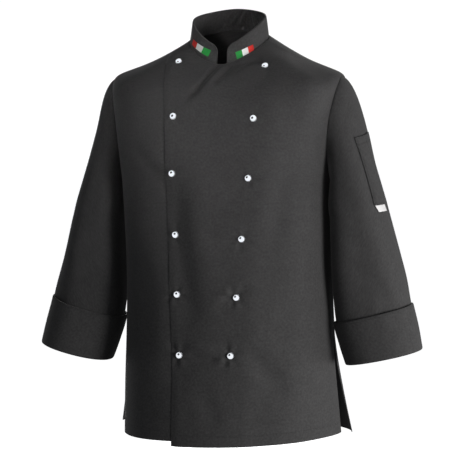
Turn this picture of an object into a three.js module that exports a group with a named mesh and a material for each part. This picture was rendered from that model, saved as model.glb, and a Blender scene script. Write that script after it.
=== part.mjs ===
// A double-breasted chef jacket in its worn, hollow form, with nobody in it: two overlapping fronts,
// a back with a vent in each side seam, set-in sleeves with turned-up cuffs, a stand collar with
// rounded ends, a pen pocket on one sleeve and two columns of domed metal studs.
// Millimetres. +Z is up, the front faces -Y and the wearer's left is +X.
// The origin is the middle of the neck, level with the two side neck points.
import * as THREE from "three";

// Cloth and seams
const CLOTH = 1.4;
const SEAM_GAP = 0.3;
const LAYER_GAP = 1.2;
const TURNED_CLOTH = 2.6;

// Torso: level rings from the hem to the armpit. All depths are measured from the wearer's middle.
const ARMPIT_Z = -250;
const HEM_Z = -714;
const VENT_TOP_Z = -528;
const BACK_SQUARENESS = 2.25;
const TORSO_RINGS = [
  { z: -720, middle: 3.5, side: 197, front: 152, back: 150, squareness: 2.3 },
  { z: -620, middle: 3.5, side: 195, front: 150, back: 143, squareness: 2.35 },
  { z: -528, middle: 3.5, side: 191, front: 148, back: 137, squareness: 2.45 },
  { z: -430, middle: 3, side: 187, front: 147, back: 132, squareness: 2.65 },
  { z: -330, middle: 2, side: 187, front: 146, back: 134, squareness: 2.95 },
  { z: -250, middle: 0, side: 189, front: 143, back: 138, squareness: 3.1 },
];

// Shoulders: each line from the armpit ring to the neck bends round a knee, sharp over the sleeve
// and soft at the front and back. "turn" is the angle from the centre front.
const NECK_RING = [
  { turn: -25, radius: 62, z: -38.5 },
  { turn: 0, radius: 61, z: -45 },
  { turn: 25, radius: 62, z: -38.5 },
  { turn: 50, radius: 67, z: -23 },
  { turn: 90, radius: 73, z: 4 },
  { turn: 135, radius: 72, z: 20 },
  { turn: 180, radius: 70, z: 27 },
  { turn: 225, radius: 72, z: 20 },
];
const KNEES = {
  side: { outward: 30, z: -58, weight: 10 },
  front: { outward: 2, z: -95, weight: 1.1, sharpness: 6, weightSharpness: 6 },
  back: { outward: 6, z: -38, weight: 1.2, sharpness: 2, weightSharpness: 5 },
};
const SHOULDER_HOLLOW = 7;

// Seams, as angles round the torso: 0 is the wearer's left side, -90 the centre front.
const SHOULDER_SEAM = -4;
const ARMHOLE = { front: 17.2, back: 22 };
const VENT_EDGE = { front: -5.4, back: 5 };
const VENT_FLARE = { frontLeft: 16, frontRight: 0, backLeft: 29, backRight: 22 };
const VENT_FLARE_SPREAD = 14;

// Closure: where its middle line runs, and how far each front reaches past it.
const CLOSURE = [
  { z: -720, middle: -10, reach: 60 },
  { z: -553, middle: -9, reach: 60 },
  { z: -447, middle: -6, reach: 67 },
  { z: -341, middle: -4, reach: 72 },
  { z: -235, middle: 1, reach: 81 },
  { z: -155, middle: 3, reach: 87 },
  { z: -105, middle: 4, reach: 94 },
  { z: -70, middle: 4, reach: 102 },
  { z: -50, middle: 4, reach: 106 },
];
const TOP_CORNER = 8;
const OVERLAP_LIFT = CLOTH + LAYER_GAP;
const OVERLAP_RAMP = { start: 3.2, width: 14 };
const HEMS = {
  over: { middle: -713.5, tilt: 0.05 },
  under: { middle: -704, tilt: 0.06 },
  back: { middle: -710, tilt: 0, dip: 10 },
};

// Sleeve of the wearer's left arm: ellipses square to the arm, from below the head to the cuff.
const SLEEVE_SECTIONS = [
  { x: 241, y: -6, z: -300, tilt: 17, side: 48, fore: 80, squareness: 2.9 },
  { x: 248, y: -7, z: -345, tilt: 16, side: 54, fore: 75, squareness: 2.8 },
  { x: 255, y: -8, z: -395, tilt: 16, side: 61, fore: 69, squareness: 2.7 },
  { x: 262, y: -9, z: -440, tilt: 16, side: 66, fore: 62, squareness: 2.5 },
  { x: 269, y: -10, z: -485, tilt: 15, side: 68, fore: 58, squareness: 2.3 },
  { x: 279, y: -11, z: -524, tilt: 14, side: 68, fore: 57, squareness: 2.2 },
  { x: 288, y: -12, z: -560, tilt: 13, side: 67, fore: 57, squareness: 2.2 },
];
const HEAD_PULL = { top: 90, bottom: 60, landing: 1.0 };
const INNER_FOLD = { depth: 5, turn: 50, spread: 26, ends: 3.4 };

// The right sleeve is the left one mirrored, with its inner and outer sides moved towards the body
// and the whole let down by these amounts.
const RIGHT_SLEEVE = [
  { z: -600, inner: -5, outer: -5, drop: 9 },
  { z: -556, inner: -2, outer: -2, drop: 9 },
  { z: -470, inner: 0, outer: 2, drop: 9 },
  { z: -380, inner: 1, outer: 7, drop: 5 },
  { z: -250, inner: 0, outer: 10, drop: 0 },
  { z: -185, inner: 0, outer: 12, drop: 0 },
  { z: -130, inner: 0, outer: 13, drop: 0 },
  { z: -60, inner: 0, outer: 8, drop: 0 },
];
const RIGHT_SLEEVE_EASED = 0.5;
const CUFF = { left: 80, right: 89, standOff: 2.2, fold: 3 };

// Collar: a band with rounded front ends
const COLLAR = {
  cloth: 2.4,
  height: 37,
  frontHeight: 34.5,
  lean: 5,
  corner: 13,
  leftEnd: -79.6,
  rightEnd: -97.5,
};

// Pen pocket and its plain tab, on the outside of the wearer's left sleeve
const POCKET = [
  { down: 0, front: 129, back: 190, frontZ: -173, backZ: -163 },
  { down: 1, front: 120, back: 190, frontZ: -290, backZ: -289 },
];
const POCKET_CLOTH = 1.2;
const TAB = { topZ: -291, bottomZ: -304, front: 122, back: 150, cloth: 0.8 };

// Studs: two columns of six, placed by the wearer's left and right
const STUD = { radius: 6.2, height: 5.2, rim: 1.0 };
const STUD_ROWS = [
  { rightX: -76, rightZ: -40, leftX: 84, leftZ: -50 },
  { rightX: -68, rightZ: -136, leftX: 76, leftZ: -140 },
  { rightX: -67, rightZ: -235, leftX: 69, leftZ: -242 },
  { rightX: -64, rightZ: -342, leftX: 56, leftZ: -347 },
  { rightX: -62, rightZ: -447, leftX: 46, leftZ: -449 },
  { rightX: -58, rightZ: -554, leftX: 36, leftZ: -551 },
];

const degrees = THREE.MathUtils.degToRad;
const mix = THREE.MathUtils.lerp;
const clamp = THREE.MathUtils.clamp;

// Smooth value of a column of a table at a key, through every row (a Catmull-Rom curve).
function lookUp(table, key, at, column) {
  const last = table.length - 1;
  let i = 0;
  while (i < last - 1 && at > table[i + 1][key]) i += 1;
  const share = clamp((at - table[i][key]) / (table[i + 1][key] - table[i][key]), 0, 1);
  const slope = (k) => {
    const low = table[Math.max(k - 1, 0)];
    const high = table[Math.min(k + 1, last)];
    return (high[column] - low[column]) / (high[key] - low[key]);
  };
  const span = table[i + 1][key] - table[i][key];
  const a = table[i][column];
  const b = table[i + 1][column];
  const s2 = share * share;
  const s3 = s2 * share;
  return (2 * s3 - 3 * s2 + 1) * a + (s3 - 2 * s2 + share) * slope(i) * span
    + (3 * s2 - 2 * s3) * b + (s3 - s2) * slope(i + 1) * span;
}

// Radius of a squared-off ellipse at an angle.
function ringRadius(angle, side, front, back, squareness) {
  const deep = Math.sin(angle) < 0 ? front : back;
  const across = Math.abs(Math.cos(angle) / side) ** squareness;
  const along = Math.abs(Math.sin(angle) / deep) ** squareness;
  return (across + along) ** (-1 / squareness);
}

const turnFromFront = (t) => Math.abs(((((t + 90) % 360) + 540) % 360) - 180);
const smooth = (x) => clamp(x, 0, 1) ** 2 * (3 - 2 * clamp(x, 0, 1));

// Level ring of the torso at height z.
function torsoRing(t, z) {
  const at = (column) => lookUp(TORSO_RINGS, "z", z, column);
  const squareness = Math.sin(degrees(t)) < 0 ? at("squareness") : BACK_SQUARENESS;
  return ringRadius(degrees(t), at("side"), at("front"), at("back"), squareness);
}

const torsoMiddle = (z) => lookUp(TORSO_RINGS, "z", z, "middle");

// How far the cloth swings out beside an open vent.
function ventFlare(t, z, back) {
  const opened = clamp((VENT_TOP_Z - z) / (VENT_TOP_Z - HEM_Z), 0, 1.05) ** 1.4;
  const edge = back ? VENT_EDGE.back : VENT_EDGE.front;
  const fromLeft = (((t - edge + 540) % 360) - 180) / VENT_FLARE_SPREAD;
  const fromRight = (((180 - edge - t + 540) % 360) - 180) / VENT_FLARE_SPREAD;
  const left = back ? VENT_FLARE.backLeft : VENT_FLARE.frontLeft;
  const right = back ? VENT_FLARE.backRight : VENT_FLARE.frontRight;
  return opened * (left * Math.exp(-(fromLeft ** 2)) + right * Math.exp(-(fromRight ** 2)));
}

// Knee of the shoulder line at an angle: the side's values near the arm, the front's or back's elsewhere.
function knee(t) {
  const away = Math.sin(degrees(t)) < 0 ? KNEES.front : KNEES.back;
  const side = Math.abs(Math.cos(degrees(t)));
  const near = side ** away.sharpness;
  return {
    near,
    r: torsoRing(t, ARMPIT_Z) + mix(away.outward, KNEES.side.outward, near),
    z: mix(away.z, KNEES.side.z, near),
    weight: mix(away.weight, KNEES.side.weight, side ** away.weightSharpness),
  };
}

// Point of the torso cloth. height runs from -1 at the hem to 0 at the armpit and 1 at the neck.
function torso(t, height, hemZ = HEM_Z, back = false) {
  const turn = degrees(t);
  if (height <= 0) {
    const z = mix(ARMPIT_Z, hemZ, -height);
    const r = torsoRing(t, z) + ventFlare(t, z, back);
    return new THREE.Vector3(torsoMiddle(z) + r * Math.cos(turn), r * Math.sin(turn), z);
  }
  const bend = knee(t);
  const reach = (2 * bend.weight) / (1 + 2 * bend.weight);
  const half = Math.min(height, 1 - height) * 2 * reach;
  const low = half / (half + 2 * bend.weight * (1 - half));
  const s = height <= 0.5 ? low : 1 - low;
  const weights = [(1 - s) ** 2, 2 * s * (1 - s) * bend.weight, s ** 2];
  const total = weights[0] + weights[1] + weights[2];
  const neckR = lookUp(NECK_RING, "turn", turnFromFront(t), "radius");
  const neckZ = lookUp(NECK_RING, "turn", turnFromFront(t), "z");
  const r = (weights[0] * torsoRing(t, ARMPIT_Z) + weights[1] * bend.r + weights[2] * neckR) / total;
  const hollow = SHOULDER_HOLLOW * bend.near * Math.sin(Math.PI * Math.max(2 * height - 1, 0));
  const z = (weights[0] * ARMPIT_Z + weights[1] * bend.z + weights[2] * neckZ) / total - hollow;
  return new THREE.Vector3(r * Math.cos(turn), r * Math.sin(turn), z);
}

// Outward direction of the torso cloth, from its slopes along both parameters.
function torsoNormal(t, height) {
  const step = 0.5;
  const rise = 0.004;
  const low = Math.max(height - rise, -1);
  const high = Math.min(height + rise, 1);
  const across = torso(t + step, height).sub(torso(t - step, height));
  const up = torso(t, high).sub(torso(t, low));
  return across.cross(up).normalize();
}

// Angle at which the torso's row has a given x, searched from the centre front to a stop.
function angleAtX(height, x, stop) {
  let near = -90;
  let far = stop;
  for (let i = 0; i < 40; i += 1) {
    const middle = (near + far) / 2;
    const past = x < 0 ? torso(middle, height).x < x : torso(middle, height).x > x;
    if (past) far = middle;
    else near = middle;
  }
  return (near + far) / 2;
}

// Angles of the two front edges along a row.
function frontEdge(height, side) {
  const z = torso(-90, height).z;
  const x = lookUp(CLOSURE, "z", z, "middle") + side * lookUp(CLOSURE, "z", z, "reach");
  return angleAtX(height, x, side > 0 ? -TOP_CORNER : TOP_CORNER - 180);
}

// A closed wall from a grid of outer points and a grid of inner points. A looped grid joins its last
// column to its first. The wall is turned inside out if its volume comes out negative.
function wall(outer, inner, looped) {
  const rows = outer.length;
  const columns = outer[0].length;
  const points = [...outer.flat(), ...inner.flat()];
  const at = (face, i, j) => face * rows * columns + i * columns + (j % columns);
  const triangles = [];
  const quad = (a, b, c, d) => {
    const cut = points[a].distanceTo(points[c]) <= points[b].distanceTo(points[d]);
    triangles.push(...(cut ? [[a, b, c], [a, c, d]] : [[a, b, d], [b, c, d]]));
  };
  const lastColumn = looped ? columns : columns - 1;
  for (let i = 0; i < rows - 1; i += 1) {
    for (let j = 0; j < lastColumn; j += 1) {
      quad(at(0, i, j), at(0, i, j + 1), at(0, i + 1, j + 1), at(0, i + 1, j));
      quad(at(1, i, j), at(1, i + 1, j), at(1, i + 1, j + 1), at(1, i, j + 1));
    }
  }
  for (let j = 0; j < lastColumn; j += 1) {
    quad(at(0, 0, j), at(1, 0, j), at(1, 0, j + 1), at(0, 0, j + 1));
    quad(at(0, rows - 1, j), at(0, rows - 1, j + 1), at(1, rows - 1, j + 1), at(1, rows - 1, j));
  }
  if (!looped) {
    for (let i = 0; i < rows - 1; i += 1) {
      quad(at(0, i, 0), at(0, i + 1, 0), at(1, i + 1, 0), at(1, i, 0));
      const end = columns - 1;
      quad(at(0, i, end), at(1, i, end), at(1, i + 1, end), at(0, i + 1, end));
    }
  }
  const volume = triangles.reduce((sum, [a, b, c]) =>
    sum + points[a].dot(new THREE.Vector3().crossVectors(points[b], points[c])), 0);
  const index = triangles.flatMap(([a, b, c]) => (volume < 0 ? [a, c, b] : [a, b, c]));
  const geometry = new THREE.BufferGeometry();
  const numbers = points.flatMap((p) => p.toArray());
  geometry.setAttribute("position", new THREE.Float32BufferAttribute(numbers, 3));
  geometry.setIndex(index);
  return geometry;
}

// Grid of points from a function of row and column.
function grid(rows, columns, point) {
  const row = (i) => Array.from({ length: columns }, (_, j) => point(i, j));
  return Array.from({ length: rows }, (_, i) => row(i));
}

// Outward directions of a grid of points, from their neighbours. "sign" turns them all over.
function gridNormals(points, looped, sign) {
  const rows = points.length;
  const columns = points[0].length;
  return grid(rows, columns, (i, j) => {
    const left = looped ? (j - 1 + columns) % columns : Math.max(j - 1, 0);
    const right = looped ? (j + 1) % columns : Math.min(j + 1, columns - 1);
    const across = points[i][right].clone().sub(points[i][left]);
    const along = points[Math.min(i + 1, rows - 1)][j].clone().sub(points[Math.max(i - 1, 0)][j]);
    return across.cross(along).normalize().multiplyScalar(sign);
  });
}

const moved = (points, normals, distance) =>
  points.map((row, i) => row.map((p, j) => p.clone().addScaledVector(normals[i][j], distance)));

const share = (i, count) => i / (count - 1);

// The same, closer together at both ends, for columns that start and stop at the shoulders.
const crowded = (i, count) =>
  share(i, count) - (0.45 * Math.sin(2 * Math.PI * share(i, count))) / (2 * Math.PI);

// Height at which the over front's free edge meets the far shoulder seam.
function cornerHeight() {
  const z = CLOSURE[CLOSURE.length - 1];
  let low = 0.5;
  let high = 1;
  for (let i = 0; i < 40; i += 1) {
    const middle = (low + high) / 2;
    if (torso(TOP_CORNER - 180, middle).x < z.middle - z.reach) low = middle;
    else high = middle;
  }
  return low;
}

// Rows of a front or back panel: the heights of its hem, vent, side seam, armhole and shoulder seam.
const VENT_TOP = -(ARMPIT_Z - VENT_TOP_Z) / (ARMPIT_Z - HEM_Z);
const CORNER = cornerHeight();
const run = (count, row) => Array.from({ length: count }, (_, i) => row(i / count));
const ROWS = [
  ...run(4, (s) => ({ height: mix(-1, VENT_TOP, s), opened: 1 - s, turn: 0 })),
  ...run(4, (s) => ({ height: mix(VENT_TOP, 0, s), opened: 0, turn: 0 })),
  ...run(8, (s) => ({ height: 0.25 * (1 - Math.cos(Math.PI * s)), opened: 0, turn: 180 * s })),
  ...run(5, (s) => ({ height: mix(0.5, CORNER, s), opened: 0, turn: 180 })),
  ...run(3, (s) => ({ height: mix(CORNER, 1, s), opened: 0, turn: 180 })),
  { height: 1, opened: 0, turn: 180 },
];

// Angle of the armhole's edge at a turn round it: 0 is the armpit, 180 the shoulder point.
const armholeAngle = (turn, reach) =>
  SHOULDER_SEAM * (turn / 180) + reach * Math.sin(degrees(turn)) ** 0.9;

// Outer edge of a panel on the wearer's left, half a seam's gap short of its neighbour.
function panelEdge(row, back) {
  const sign = back ? 1 : -1;
  const gap = (SEAM_GAP / 2 / 190) * (180 / Math.PI) * 1.2;
  const vent = back ? VENT_EDGE.back : VENT_EDGE.front;
  const reach = back ? ARMHOLE.back : ARMHOLE.front;
  return armholeAngle(row.turn, sign * reach) + vent * row.opened + sign * gap;
}

const mirrored = (t) => -180 - t;

// The over front: from the wearer's left side seam across to its free edge on the right.
function frontOver() {
  const columns = 23;
  const place = (i, j) => {
    const row = ROWS[i];
    const t = mix(panelEdge(row, false), frontEdge(row.height, -1), crowded(j, columns));
    return { t, height: row.height };
  };
  const outer = grid(ROWS.length, columns, (i, j) => {
    const { t, height } = place(i, j);
    const x = torso(t, -1).x;
    return overPoint(t, height, HEMS.over.middle + HEMS.over.tilt * x);
  });
  return wall(outer, moved(outer, gridNormals(outer, false, -1), -CLOTH), false);
}

// Point on the outer face of the over front, which steps up where the under front lies behind it.
function overPoint(t, height, hemZ = HEM_Z) {
  const past = (t - frontEdge(height, 1) - OVERLAP_RAMP.start) / OVERLAP_RAMP.width;
  const lift = OVERLAP_LIFT * (1 - smooth(past));
  return torso(t, height, hemZ).addScaledVector(torsoNormal(t, height), lift);
}

// The under front: from the wearer's right side seam to its free edge behind the over front.
function frontUnder() {
  const columns = 21;
  const outer = grid(ROWS.length, columns, (i, j) => {
    const row = ROWS[i];
    const t = mix(frontEdge(row.height, 1), mirrored(panelEdge(row, false)), crowded(j, columns));
    const x = torso(t, -1).x;
    return torso(t, row.height, HEMS.under.middle + HEMS.under.tilt * Math.min(x, CLOSURE[0].middle));
  });
  return wall(outer, moved(outer, gridNormals(outer, false, -1), -CLOTH), false);
}

// The back, from side seam to side seam, a little longer at its middle.
function backPanel() {
  const columns = 23;
  const outer = grid(ROWS.length, columns, (i, j) => {
    const row = ROWS[i];
    const edge = panelEdge(row, true);
    const t = mix(edge, 180 - edge, crowded(j, columns));
    const dip = HEMS.back.dip * Math.sin(degrees(t)) ** 2;
    return torso(t, row.height, HEMS.back.middle - dip, true);
  });
  return wall(outer, moved(outer, gridNormals(outer, false, 1), -CLOTH), false);
}

// Point of the armhole's loop on the left, a seam's gap inside the panels' edges.
function armhole(turn) {
  const front = turn <= 180;
  const along = front ? turn : 360 - turn;
  const reach = front ? -ARMHOLE.front : ARMHOLE.back;
  const shrink = 1 - (2 * SEAM_GAP) / 80;
  const t = armholeAngle(along, reach * shrink);
  const height = 0.25 * (1 - Math.cos(degrees(along)) * shrink);
  const point = torso(t, height);
  return point.addScaledVector(torsoNormal(t, height), 0.8 * Math.cos(degrees(along / 2)) ** 8);
}

// Ring of the sleeve below its head. along counts the rows of SLEEVE_SECTIONS from 0.
function sleeveRing(along, turn) {
  const keyed = SLEEVE_SECTIONS.map((section, i) => ({ ...section, i }));
  const at = (column) => lookUp(keyed, "i", along, column);
  const angle = degrees(180 - turn);
  const fading = smooth(1 - Math.abs(along - 0.6) / INNER_FOLD.ends);
  const bell = Math.exp(-(((turn - INNER_FOLD.turn) / INNER_FOLD.spread) ** 2));
  const fold = INNER_FOLD.depth * fading * bell;
  const r = ringRadius(angle, at("side"), at("fore"), at("fore"), at("squareness")) + fold;
  const tilt = degrees(at("tilt"));
  const lateral = new THREE.Vector3(Math.cos(tilt), 0, Math.sin(tilt));
  const point = new THREE.Vector3(at("x"), at("y"), at("z"));
  point.y -= r * Math.sin(angle);
  return point.addScaledVector(lateral, r * Math.cos(angle));
}

// Point of the left sleeve. along runs from 0 at the armhole to 1 at the first ring, then one a ring.
function sleeve(along, turn) {
  if (along >= 1) return sleeveRing(along - 1, turn);
  const start = armhole(turn);
  const end = sleeveRing(0, turn);
  const top = (1 - Math.cos(degrees(turn))) / 2;
  const tilt = degrees(SLEEVE_SECTIONS[0].tilt);
  const leave = new THREE.Vector3(0.3 + 0.62 * top, -0.25 * Math.sin(degrees(turn)), -0.95 + 0.55 * top)
    .normalize().multiplyScalar(mix(HEAD_PULL.bottom, HEAD_PULL.top, top));
  const land = new THREE.Vector3(Math.sin(tilt), 0, -Math.cos(tilt))
    .multiplyScalar(start.distanceTo(end) * HEAD_PULL.landing);
  start.addScaledVector(leave.clone().normalize(), 0.5);
  const a2 = along * along;
  const a3 = a2 * along;
  return start.multiplyScalar(2 * a3 - 3 * a2 + 1).addScaledVector(leave, a3 - 2 * a2 + along)
    .addScaledVector(end, 3 * a2 - 2 * a3).addScaledVector(land, a3 - a2);
}

const lastRing = SLEEVE_SECTIONS.length;

// Mirrored point of the right sleeve. The armhole itself stays where it is.
function toRight(point, along) {
  const loose = smooth(along / RIGHT_SLEEVE_EASED);
  const at = (column) => loose * lookUp(RIGHT_SLEEVE, "z", point.z, column);
  const inward = mix(at("inner"), at("outer"), smooth((point.x - 200) / 90));
  const drop = at("drop");
  return new THREE.Vector3(-point.x + inward, point.y, point.z - drop);
}

const toLeft = (point) => point;

function sleeveTube(toSide) {
  const columns = 26;
  const heights = [0, 0.08, 0.18, 0.3, 0.45, 0.6, 0.8, 1, 1.5, 2, 3, 4, 5.5, lastRing];
  const outer = grid(heights.length, columns, (i, j) =>
    toSide(sleeve(heights[i], (360 * j) / columns), heights[i]));
  const sign = toSide === toLeft ? -1 : 1;
  return wall(outer, moved(outer, gridNormals(outer, true, sign), -CLOTH), true);
}

// Turned-up cuff: a double band round the end of the sleeve, standing off it at the top.
function cuff(toSide, height) {
  const columns = 26;
  const rows = 4;
  const sign = toSide === toLeft ? -1 : 1;
  const edge = (along, turn) => toSide(sleeve(along, turn), along);
  const centre = (along) => edge(along, 0).add(edge(along, 180)).multiplyScalar(0.5);
  const end = centre(lastRing);
  const axis = end.clone().sub(centre(lastRing - 2)).normalize();
  const loop = (i) => {
    const up = height * (1 - share(i, rows)) - CUFF.fold;
    let along = lastRing;
    while (centre(along).distanceTo(end) < up) along -= 0.02;
    const below = up < 0 ? -up : 0;
    return Array.from({ length: columns }, (_, j) =>
      edge(along, (360 * j) / columns).addScaledVector(axis, below));
  };
  const base = Array.from({ length: rows }, (_, i) => loop(i));
  const normals = gridNormals(base, true, sign);
  const standOff = (i) => mix(CUFF.standOff, SEAM_GAP + 0.4, share(i, rows));
  const inner = base.map((row, i) =>
    row.map((p, j) => p.clone().addScaledVector(normals[i][j], standOff(i))));
  return wall(moved(inner, normals, TURNED_CLOTH), inner, true);
}

// Outer face of the collar. up runs from 0 at the neck seam to 1 at the top edge.
function collarPoint(t, up) {
  const turn = turnFromFront(t);
  const r = lookUp(NECK_RING, "turn", turn, "radius") - 0.5;
  const base = lookUp(NECK_RING, "turn", turn, "z") + SEAM_GAP;
  const fromEnd = Math.min(t - COLLAR.leftEnd, COLLAR.rightEnd + 360 - t);
  const along = clamp(degrees(fromEnd) * r, 0, COLLAR.corner);
  const rounded = COLLAR.corner - Math.sqrt(COLLAR.corner ** 2 - (COLLAR.corner - along) ** 2);
  const height = mix(COLLAR.frontHeight, COLLAR.height, smooth(turn / 60)) - rounded;
  const leaned = r - COLLAR.lean * up * (height / COLLAR.height);
  const angle = degrees(t);
  return new THREE.Vector3(leaned * Math.cos(angle), leaned * Math.sin(angle), base + height * up);
}

// Collar columns run from the left end round the back to the right end, closer at the rounded ends.
function collar() {
  const ends = [0, 1.5, 3.5, 6.5, 10, 14];
  const length = COLLAR.rightEnd + 360 - COLLAR.leftEnd;
  const middle = Array.from({ length: 25 }, (_, i) => mix(22, length - 22, i / 24));
  const steps = [...ends, ...middle, ...ends.map((e) => length - e).reverse()];
  const turns = steps.map((step) => COLLAR.leftEnd + step);
  const outer = grid(4, turns.length, (i, j) => collarPoint(turns[j], share(i, 4)));
  const inward = grid(4, turns.length, (i, j) => {
    const angle = degrees(turns[j]);
    return new THREE.Vector3(-Math.cos(angle), -Math.sin(angle), 0);
  });
  return wall(outer, moved(outer, inward, COLLAR.cloth), false);
}

// A patch of cloth lying on the left sleeve, between two distances off it.
function onSleeve(rows, columns, place, low, high) {
  const at = (distance) => grid(rows, columns, (i, j) => {
    const { along, turn } = place(share(i, rows), share(j, columns));
    const point = sleeve(along, turn);
    const across = sleeve(along, turn + 1).sub(sleeve(along, turn - 1));
    const down = sleeve(along + 0.01, turn).sub(sleeve(along - 0.01, turn));
    return point.addScaledVector(down.cross(across).normalize(), distance);
  });
  return wall(at(high), at(low), false);
}

// How far along the left sleeve a given height lies at a turn.
function alongAtZ(turn, z) {
  let low = 0.05;
  let high = 2;
  for (let i = 0; i < 40; i += 1) {
    const middle = (low + high) / 2;
    if (sleeve(middle, turn).z > z) low = middle;
    else high = middle;
  }
  return low;
}

function penPocket() {
  const place = (down, back) => {
    const at = (column) => mix(POCKET[0][column], POCKET[1][column], down);
    const turn = mix(at("front"), at("back"), back);
    return { along: alongAtZ(turn, mix(at("frontZ"), at("backZ"), back)), turn };
  };
  return onSleeve(8, 6, place, LAYER_GAP, LAYER_GAP + POCKET_CLOTH);
}

function labelTab() {
  const place = (down, back) => {
    const turn = mix(TAB.front, TAB.back, back);
    return { along: alongAtZ(turn, mix(TAB.topZ, TAB.bottomZ, down)), turn };
  };
  return onSleeve(3, 4, place, LAYER_GAP, LAYER_GAP + TAB.cloth);
}

// Stud with a rim and a domed head, closed on its axis.
function studProfile() {
  const dome = Array.from({ length: 5 }, (_, i) => {
    const angle = (Math.PI / 2) * (i / 4);
    const rise = STUD.rim + (STUD.height - STUD.rim) * Math.sin(angle);
    return new THREE.Vector2(STUD.radius * Math.cos(angle), rise);
  });
  dome[4].x = 0;
  return [new THREE.Vector2(0, 0), new THREE.Vector2(STUD.radius * 0.86, 0), ...dome];
}

// Angle and height on the fronts that have a given x and z.
function onFront(x, z) {
  let t = -90;
  let height = 0;
  for (let i = 0; i < 40; i += 1) {
    let low = -1;
    let high = 1;
    for (let k = 0; k < 30; k += 1) {
      height = (low + high) / 2;
      if (torso(t, height).z < z) low = height;
      else high = height;
    }
    t = THREE.MathUtils.radToDeg(Math.atan2(torso(t, height).y, x));
  }
  return { t, height };
}

const cloth = new THREE.MeshStandardMaterial({ color: 0x3a3a3b, roughness: 0.9, metalness: 0 });
const chrome = new THREE.MeshStandardMaterial({ color: 0xd8d9dc, roughness: 0.12, metalness: 1 });
const woven = new THREE.MeshStandardMaterial({ color: 0xe9e6e6, roughness: 0.75, metalness: 0 });

const jacket = new THREE.Group();

function add(name, geometry, material) {
  const mesh = new THREE.Mesh(geometry, material);
  mesh.name = name;
  jacket.add(mesh);
  return mesh;
}

add("front_over", frontOver(), cloth);
add("front_under", frontUnder(), cloth);
add("back", backPanel(), cloth);
add("sleeve_left", sleeveTube(toLeft), cloth);
add("sleeve_right", sleeveTube(toRight), cloth);
add("cuff_left", cuff(toLeft, CUFF.left), cloth);
add("cuff_right", cuff(toRight, CUFF.right), cloth);
add("collar", collar(), cloth);
add("pen_pocket", penPocket(), cloth);
add("label_tab", labelTab(), woven);

STUD_ROWS.forEach((row, i) => {
  [["left", row.leftX, row.leftZ], ["right", row.rightX, row.rightZ]].forEach(([side, x, z]) => {
    const { t, height } = onFront(x, z);
    const stud = add(`stud_${side}_${i + 1}`, new THREE.LatheGeometry(studProfile(), 12), chrome);
    const normal = torsoNormal(t, height);
    stud.position.copy(overPoint(t, height)).addScaledVector(normal, 0.5);
    stud.quaternion.setFromUnitVectors(new THREE.Vector3(0, 1, 0), normal);
  });
});

export default jacket;
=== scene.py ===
"""Looks of a double-breasted chef jacket in its worn, hollow form.

Charcoal cotton and polyester twill: two overlapping fronts, a back, set-in sleeves with turned-up cuffs, a
stand collar with a flag worked on each end, a pen pocket with a plain woven tab, and two columns of domed
chrome studs. Shapes are worked out in millimetres in the frame's own axes, and become metres when a mesh is
made.
"""
import math

import bpy
import numpy as np
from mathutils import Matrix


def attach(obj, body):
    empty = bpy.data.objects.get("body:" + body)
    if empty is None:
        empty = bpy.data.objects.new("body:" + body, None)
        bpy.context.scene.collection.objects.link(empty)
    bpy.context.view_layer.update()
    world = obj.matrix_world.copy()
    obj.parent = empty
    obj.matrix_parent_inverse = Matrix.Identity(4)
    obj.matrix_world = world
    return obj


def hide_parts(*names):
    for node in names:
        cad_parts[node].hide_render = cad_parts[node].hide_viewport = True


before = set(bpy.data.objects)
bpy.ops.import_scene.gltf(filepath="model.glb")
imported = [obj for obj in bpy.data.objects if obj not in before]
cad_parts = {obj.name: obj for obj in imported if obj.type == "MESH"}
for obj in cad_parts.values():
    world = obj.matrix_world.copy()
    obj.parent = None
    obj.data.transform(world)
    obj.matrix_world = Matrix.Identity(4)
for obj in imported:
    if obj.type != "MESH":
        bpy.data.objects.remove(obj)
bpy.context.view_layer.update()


# Camera
# The jacket is seen from a little to its own left and from a little above its middle, with a long lens and a
# slight downward tilt. The lens gives a square picture of 458 by 458 at 1421 pixels of focal length.
CAMERA_TURN = math.radians(14.0)
CAMERA_DISTANCE = 2.6
CAMERA_HEIGHT = -0.15
CAMERA_TILT = math.radians(4.2)
SENSOR_MM, FOCAL_PIXELS, PICTURE_PIXELS = 36.0, 1421, 458
lens = bpy.data.cameras.new("camera")
lens.sensor_fit = "HORIZONTAL"
lens.sensor_width = SENSOR_MM
lens.lens = SENSOR_MM * FOCAL_PIXELS / PICTURE_PIXELS
camera = bpy.data.objects.new("camera", lens)
camera.location = (
    CAMERA_DISTANCE * math.sin(CAMERA_TURN),
    -CAMERA_DISTANCE * math.cos(CAMERA_TURN),
    CAMERA_HEIGHT,
)
camera.rotation_euler = (math.pi / 2 - CAMERA_TILT, 0, CAMERA_TURN)
bpy.context.scene.collection.objects.link(camera)
bpy.context.scene.camera = camera


# Floor and light
# A plain white studio: a wide pale floor at the wearer's feet, a large soft box low down to the right of the
# camera, a weak one in front, a narrow one on the chest, two low down that edge the sleeves and one for the
# back. Polished metal sees the white tent round the set.
FLOOR_HEIGHT = -1.45
FLOOR_REACH = 40.0
PALE_PAINT = "#f4f4f4"


def linear(code):
    """Linear colour of an sRGB hex code: c / 12.92 below 0.04045, and ((c + 0.055) / 1.055) to the 2.4 above."""
    parts = [int(code[k : k + 2], 16) / 255 for k in (1, 3, 5)]
    return [c / 12.92 if c <= 0.04045 else ((c + 0.055) / 1.055) ** 2.4 for c in parts] + [1.0]


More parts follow.
